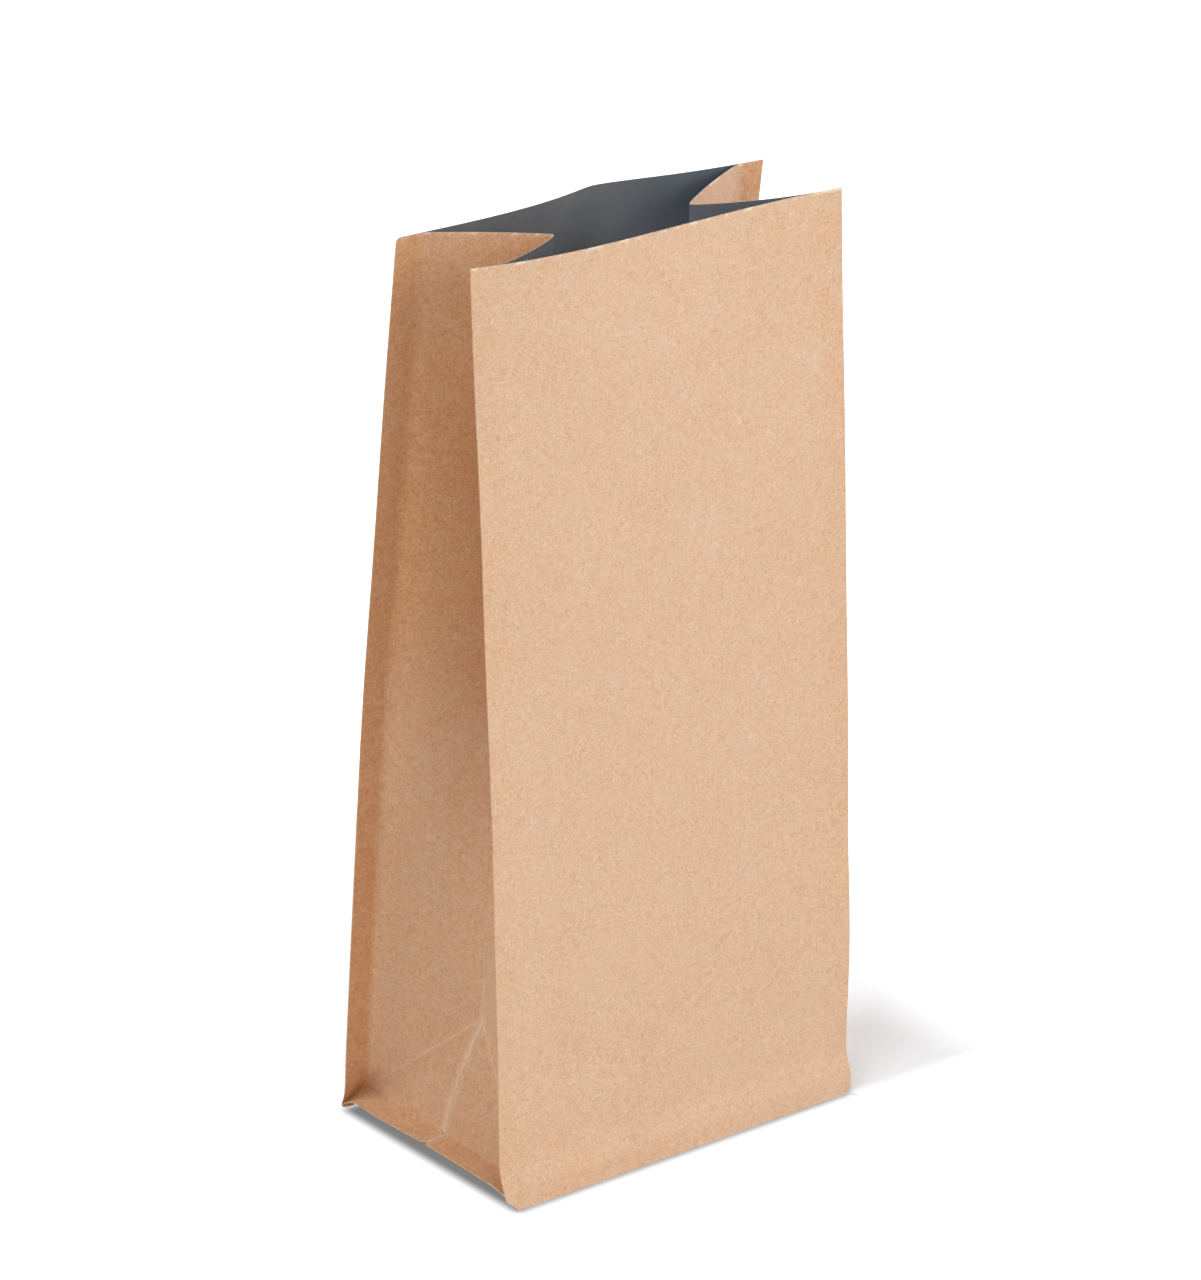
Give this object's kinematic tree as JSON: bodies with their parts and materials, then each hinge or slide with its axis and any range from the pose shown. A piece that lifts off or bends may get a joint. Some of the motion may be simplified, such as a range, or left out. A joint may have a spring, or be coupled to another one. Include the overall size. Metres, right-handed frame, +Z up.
{
  "type": "lined brown paper lunch bag",
  "caption": "Open flat-bottomed brown paper bag with a dark film lining, inward side folds and sealed corner fins, for carrying food.",
  "frame": {"origin": "on the floor, under the middle of the bag's box", "axes": "+X along the width of the front panel, the front panel faces -Y, +Z up from the foot to the mouth"},
  "size_m": [0.13, 0.0846, 0.284],
  "materials": {
    "brown_paper": "uncoated brown sack paper, matt, bonded to a dark grey film on its inner side"
  },
  "bodies": {
    "root": {"paper_bag": "brown_paper"}
  },
  "joints": []
}
